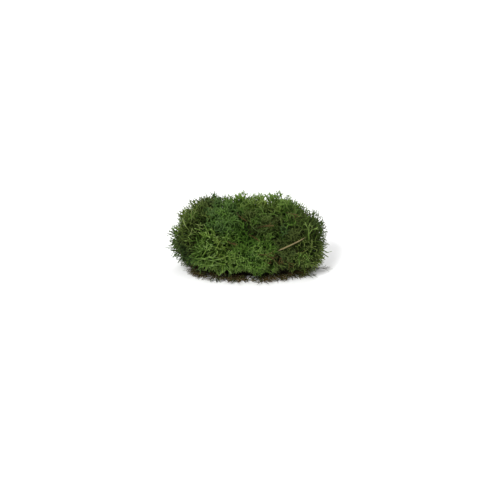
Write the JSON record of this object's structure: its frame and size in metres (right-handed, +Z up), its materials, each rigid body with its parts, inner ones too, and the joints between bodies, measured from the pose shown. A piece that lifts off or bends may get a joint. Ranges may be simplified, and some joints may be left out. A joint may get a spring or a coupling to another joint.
{
  "type": "reindeer moss clump",
  "caption": "Low cushion of preserved reindeer moss: rounded heads of finely forked green stalks on a flat mat of dead brown stems, with a dry pine needle caught in the front.",
  "frame": {"origin": "middle of the mat's flat underside, on the table", "axes": "+Z up; +X along the clump's length, to the viewer's right; the viewer is on the -Y side"},
  "size_m": [0.1032, 0.0667, 0.0464],
  "materials": {
    "bright_green_lichen": "matt bright yellow-green forked lichen, coarse tuft and fine mat",
    "mid_green_lichen": "matt mid green forked lichen",
    "olive_green_lichen": "matt olive to greyish green forked lichen with pale strands",
    "dark_green_lichen": "matt dark green forked lichen, shaded",
    "dead_brown_stems": "matt dark brown dead stems",
    "dry_needle_tan": "dry pale tan needle, faint sheen"
  },
  "bodies": {
    "root": {"dead_stem_mat": "dead_brown_stems", "head_front_left": "bright_green_lichen", "head_front_middle": "mid_green_lichen", "head_front_hollow": "dark_green_lichen", "head_front_right": "olive_green_lichen", "head_left_foot": "dark_green_lichen", "head_left_shoulder": "olive_green_lichen", "head_middle_left": "mid_green_lichen", "head_middle": "dark_green_lichen", "head_middle_right": "mid_green_lichen", "head_top_left": "dark_green_lichen", "head_top_middle": "bright_green_lichen", "head_top_right": "bright_green_lichen", "head_right_shoulder": "dark_green_lichen", "head_back_left": "mid_green_lichen", "head_back_middle": "mid_green_lichen", "head_back_right": "olive_green_lichen", "pine_needle": "dry_needle_tan"}
  },
  "joints": []
}
